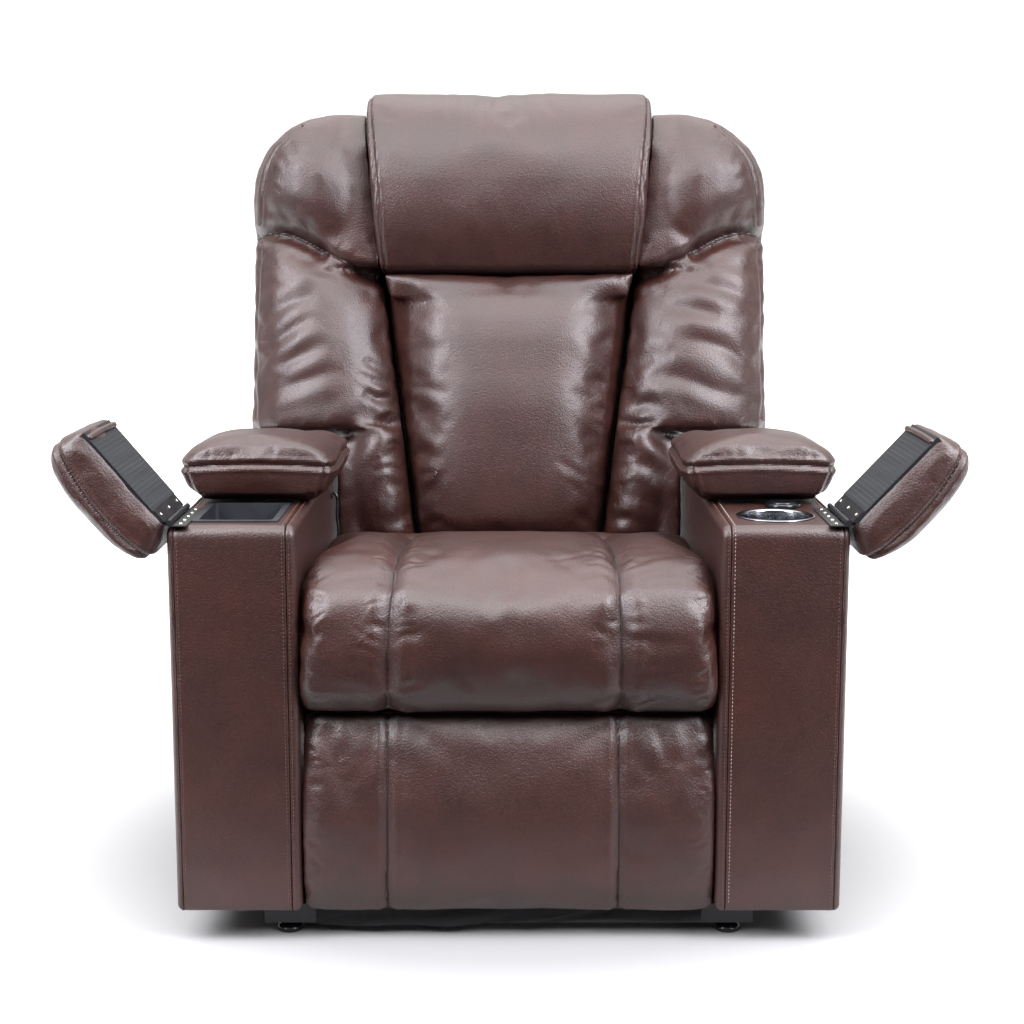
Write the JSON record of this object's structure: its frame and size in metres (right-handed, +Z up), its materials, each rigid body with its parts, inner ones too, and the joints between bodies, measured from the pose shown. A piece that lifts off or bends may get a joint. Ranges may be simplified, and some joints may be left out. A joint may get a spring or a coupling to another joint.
{
  "type": "lift recliner chair",
  "caption": "Power lift recliner chair with a raising base, tilting backrest, swing-out footrest and lidded storage arms with a cup holder.",
  "frame": {"origin": "on the floor, below the middle of the chair's bounding box with its arm lids open", "axes": "+Z up, the chair faces -Y, +X to the right of someone who looks at its front"},
  "size_m": [1.1477, 0.8342, 1.1225],
  "materials": {
    "leather": "dark brown semi-gloss faux leather with a fine grain",
    "black_fabric": "black woven dust-cover cloth",
    "black_steel": "black powder-coated steel",
    "zinc_steel": "zinc-plated steel",
    "stainless": "polished stainless steel",
    "black_plastic": "matte black moulded plastic",
    "gloss_plastic": "gloss blue-black moulded plastic",
    "birch_ply": "unfinished birch plywood",
    "black_rubber": "black rubber"
  },
  "bodies": {
    "base": {"base_front_crossbar": "black_steel", "base_rear_crossbar": "black_steel", "base_side_rail_left": "black_steel", "base_side_rail_right": "black_steel", "glide_foot_front_left": "black_rubber", "glide_foot_front_right": "black_rubber", "glide_foot_rear_left": "black_rubber", "glide_foot_rear_right": "black_rubber", "base_front_skirt": "black_fabric"},
    "lift_arms": {"lift_arm_left": "black_steel", "lift_arm_right": "black_steel", "lift_torque_tube": "black_steel"},
    "guide_links": {"guide_link_left": "black_steel", "guide_link_right": "black_steel"},
    "lift_motor": {"lift_actuator_housing": "black_plastic"},
    "lift_rod": {"lift_actuator_rod": "zinc_steel"},
    "chassis": {"mechanism_side_plate_left": "black_steel", "mechanism_side_plate_right": "black_steel", "seat_front_rail": "black_steel", "seat_rear_rail": "birch_ply", "seat_springs": "zinc_steel", "seat_cushion": "leather", "arm_outer_panel_left": "leather", "arm_outer_panel_right": "leather", "arm_inner_panel_left": "leather", "arm_inner_panel_right": "leather", "arm_front_panel_left": "leather", "arm_front_panel_right": "leather", "arm_deck_left": "leather", "arm_deck_right": "leather", "storage_bin": "black_plastic", "cup_holder": "stainless", "switch_housing": "gloss_plastic", "arm_pad_left": "leather", "arm_pad_right": "leather", "deck_hinge_left": "black_steel", "deck_hinge_right": "black_steel", "lead_grommet": "black_rubber", "switch_lead": "black_rubber"},
    "switch_button": {"switch_button": "gloss_plastic"},
    "recline_motor": {"recline_actuator_housing": "black_plastic"},
    "recline_rod": {"recline_actuator_rod": "zinc_steel"},
    "backrest": {"back_torque_tube": "black_steel", "back_frame_panel": "birch_ply", "back_outer_cover": "leather", "back_centre_cushion": "leather", "back_side_panel_left": "leather", "back_side_panel_right": "leather", "head_pillow": "leather"},
    "lid_left": {"lid_board_left": "black_fabric", "lid_pad_left": "leather"},
    "lid_right": {"lid_board_right": "black_fabric", "lid_pad_right": "leather"},
    "footrest_front_links": {"footrest_front_link_left": "zinc_steel", "footrest_front_link_right": "zinc_steel"},
    "footrest_rear_links": {"footrest_rear_link_left": "zinc_steel", "footrest_rear_link_right": "zinc_steel"},
    "footrest": {"footrest_board": "birch_ply", "footrest_pad": "leather"}
  },
  "joints": [
    {"name": "lift", "type": "hinge", "parent": "base", "child": "lift_arms", "pos_m": [0, -0.278, 0.062], "axis": [1, 0, 0], "range_deg": [0, 52]},
    {"name": "guide_swing", "type": "hinge", "parent": "base", "child": "guide_links", "pos_m": [0, -0.3223, 0.062], "axis": [1, 0, 0], "range_deg": [0, 57.5]},
    {"name": "lift_motor_tilt", "type": "hinge", "parent": "base", "child": "lift_motor", "pos_m": [0, 0.238, 0.066], "axis": [1, 0, 0], "range_deg": [-2.2, 0]},
    {"name": "lift_rod_travel", "type": "slide", "parent": "lift_motor", "child": "lift_rod", "axis": [0, -0.9901, 0.1406], "range_m": [0, 0.08]},
    {"name": "chassis_tilt", "type": "hinge", "parent": "lift_arms", "child": "chassis", "pos_m": [0, 0.162, 0.104], "axis": [1, 0, 0], "range_deg": [-24.1, 0]},
    {"name": "switch_press", "type": "slide", "parent": "chassis", "child": "switch_button", "axis": [0, 0, -1], "range_m": [0, 0.0015], "stiffness_N_per_m": 600, "springref_m": -0.002},
    {"name": "recline", "type": "hinge", "parent": "chassis", "child": "backrest", "pos_m": [0, 0.242, 0.3], "axis": [-1, 0, 0], "range_deg": [0, 45]},
    {"name": "recline_motor_tilt", "type": "hinge", "parent": "chassis", "child": "recline_motor", "pos_m": [0, -0.226, 0.24], "axis": [1, 0, 0], "range_deg": [0, 2.3]},
    {"name": "recline_rod_travel", "type": "slide", "parent": "recline_motor", "child": "recline_rod", "axis": [0, 0.9991, -0.0427], "range_m": [-0.0585, 0]},
    {"name": "lid_left_hinge", "type": "hinge", "parent": "chassis", "child": "lid_left", "pos_m": [-0.424, -0.329, 0.557], "axis": [0, 1, 0], "range_deg": [0, 130]},
    {"name": "lid_right_hinge", "type": "hinge", "parent": "chassis", "child": "lid_right", "pos_m": [0.424, -0.329, 0.557], "axis": [0, -1, 0], "range_deg": [0, 133]},
    {"name": "footrest_swing", "type": "hinge", "parent": "chassis", "child": "footrest_front_links", "pos_m": [0, -0.303, 0.275], "axis": [-1, 0, 0], "range_deg": [0, 115]},
    {"name": "footrest_elbow", "type": "hinge", "parent": "footrest_front_links", "child": "footrest_rear_links", "pos_m": [0, -0.25771, 0.10596], "axis": [-1, 0, 0], "range_deg": [-156.2, 0]},
    {"name": "footrest_turn", "type": "hinge", "parent": "footrest_rear_links", "child": "footrest", "pos_m": [0, -0.326, 0.23], "axis": [-1, 0, 0], "range_deg": [0, 131.2]}
  ],
  "couplings": [
    {"joint": "guide_swing", "follows": "lift", "ratio": 1.104},
    {"joint": "chassis_tilt", "follows": "lift", "ratio": -0.4615},
    {"joint": "lift_motor_tilt", "follows": "lift", "ratio": -0.0419},
    {"joint": "lift_rod_travel", "follows": "lift", "m_per_rad": 0.0876},
    {"joint": "recline_motor_tilt", "follows": "recline", "ratio": 0.0509},
    {"joint": "recline_rod_travel", "follows": "recline", "m_per_rad": -0.07385},
    {"joint": "footrest_elbow", "follows": "footrest_swing", "ratio": -1.3579},
    {"joint": "footrest_turn", "follows": "footrest_swing", "ratio": 1.1405}
  ]
}
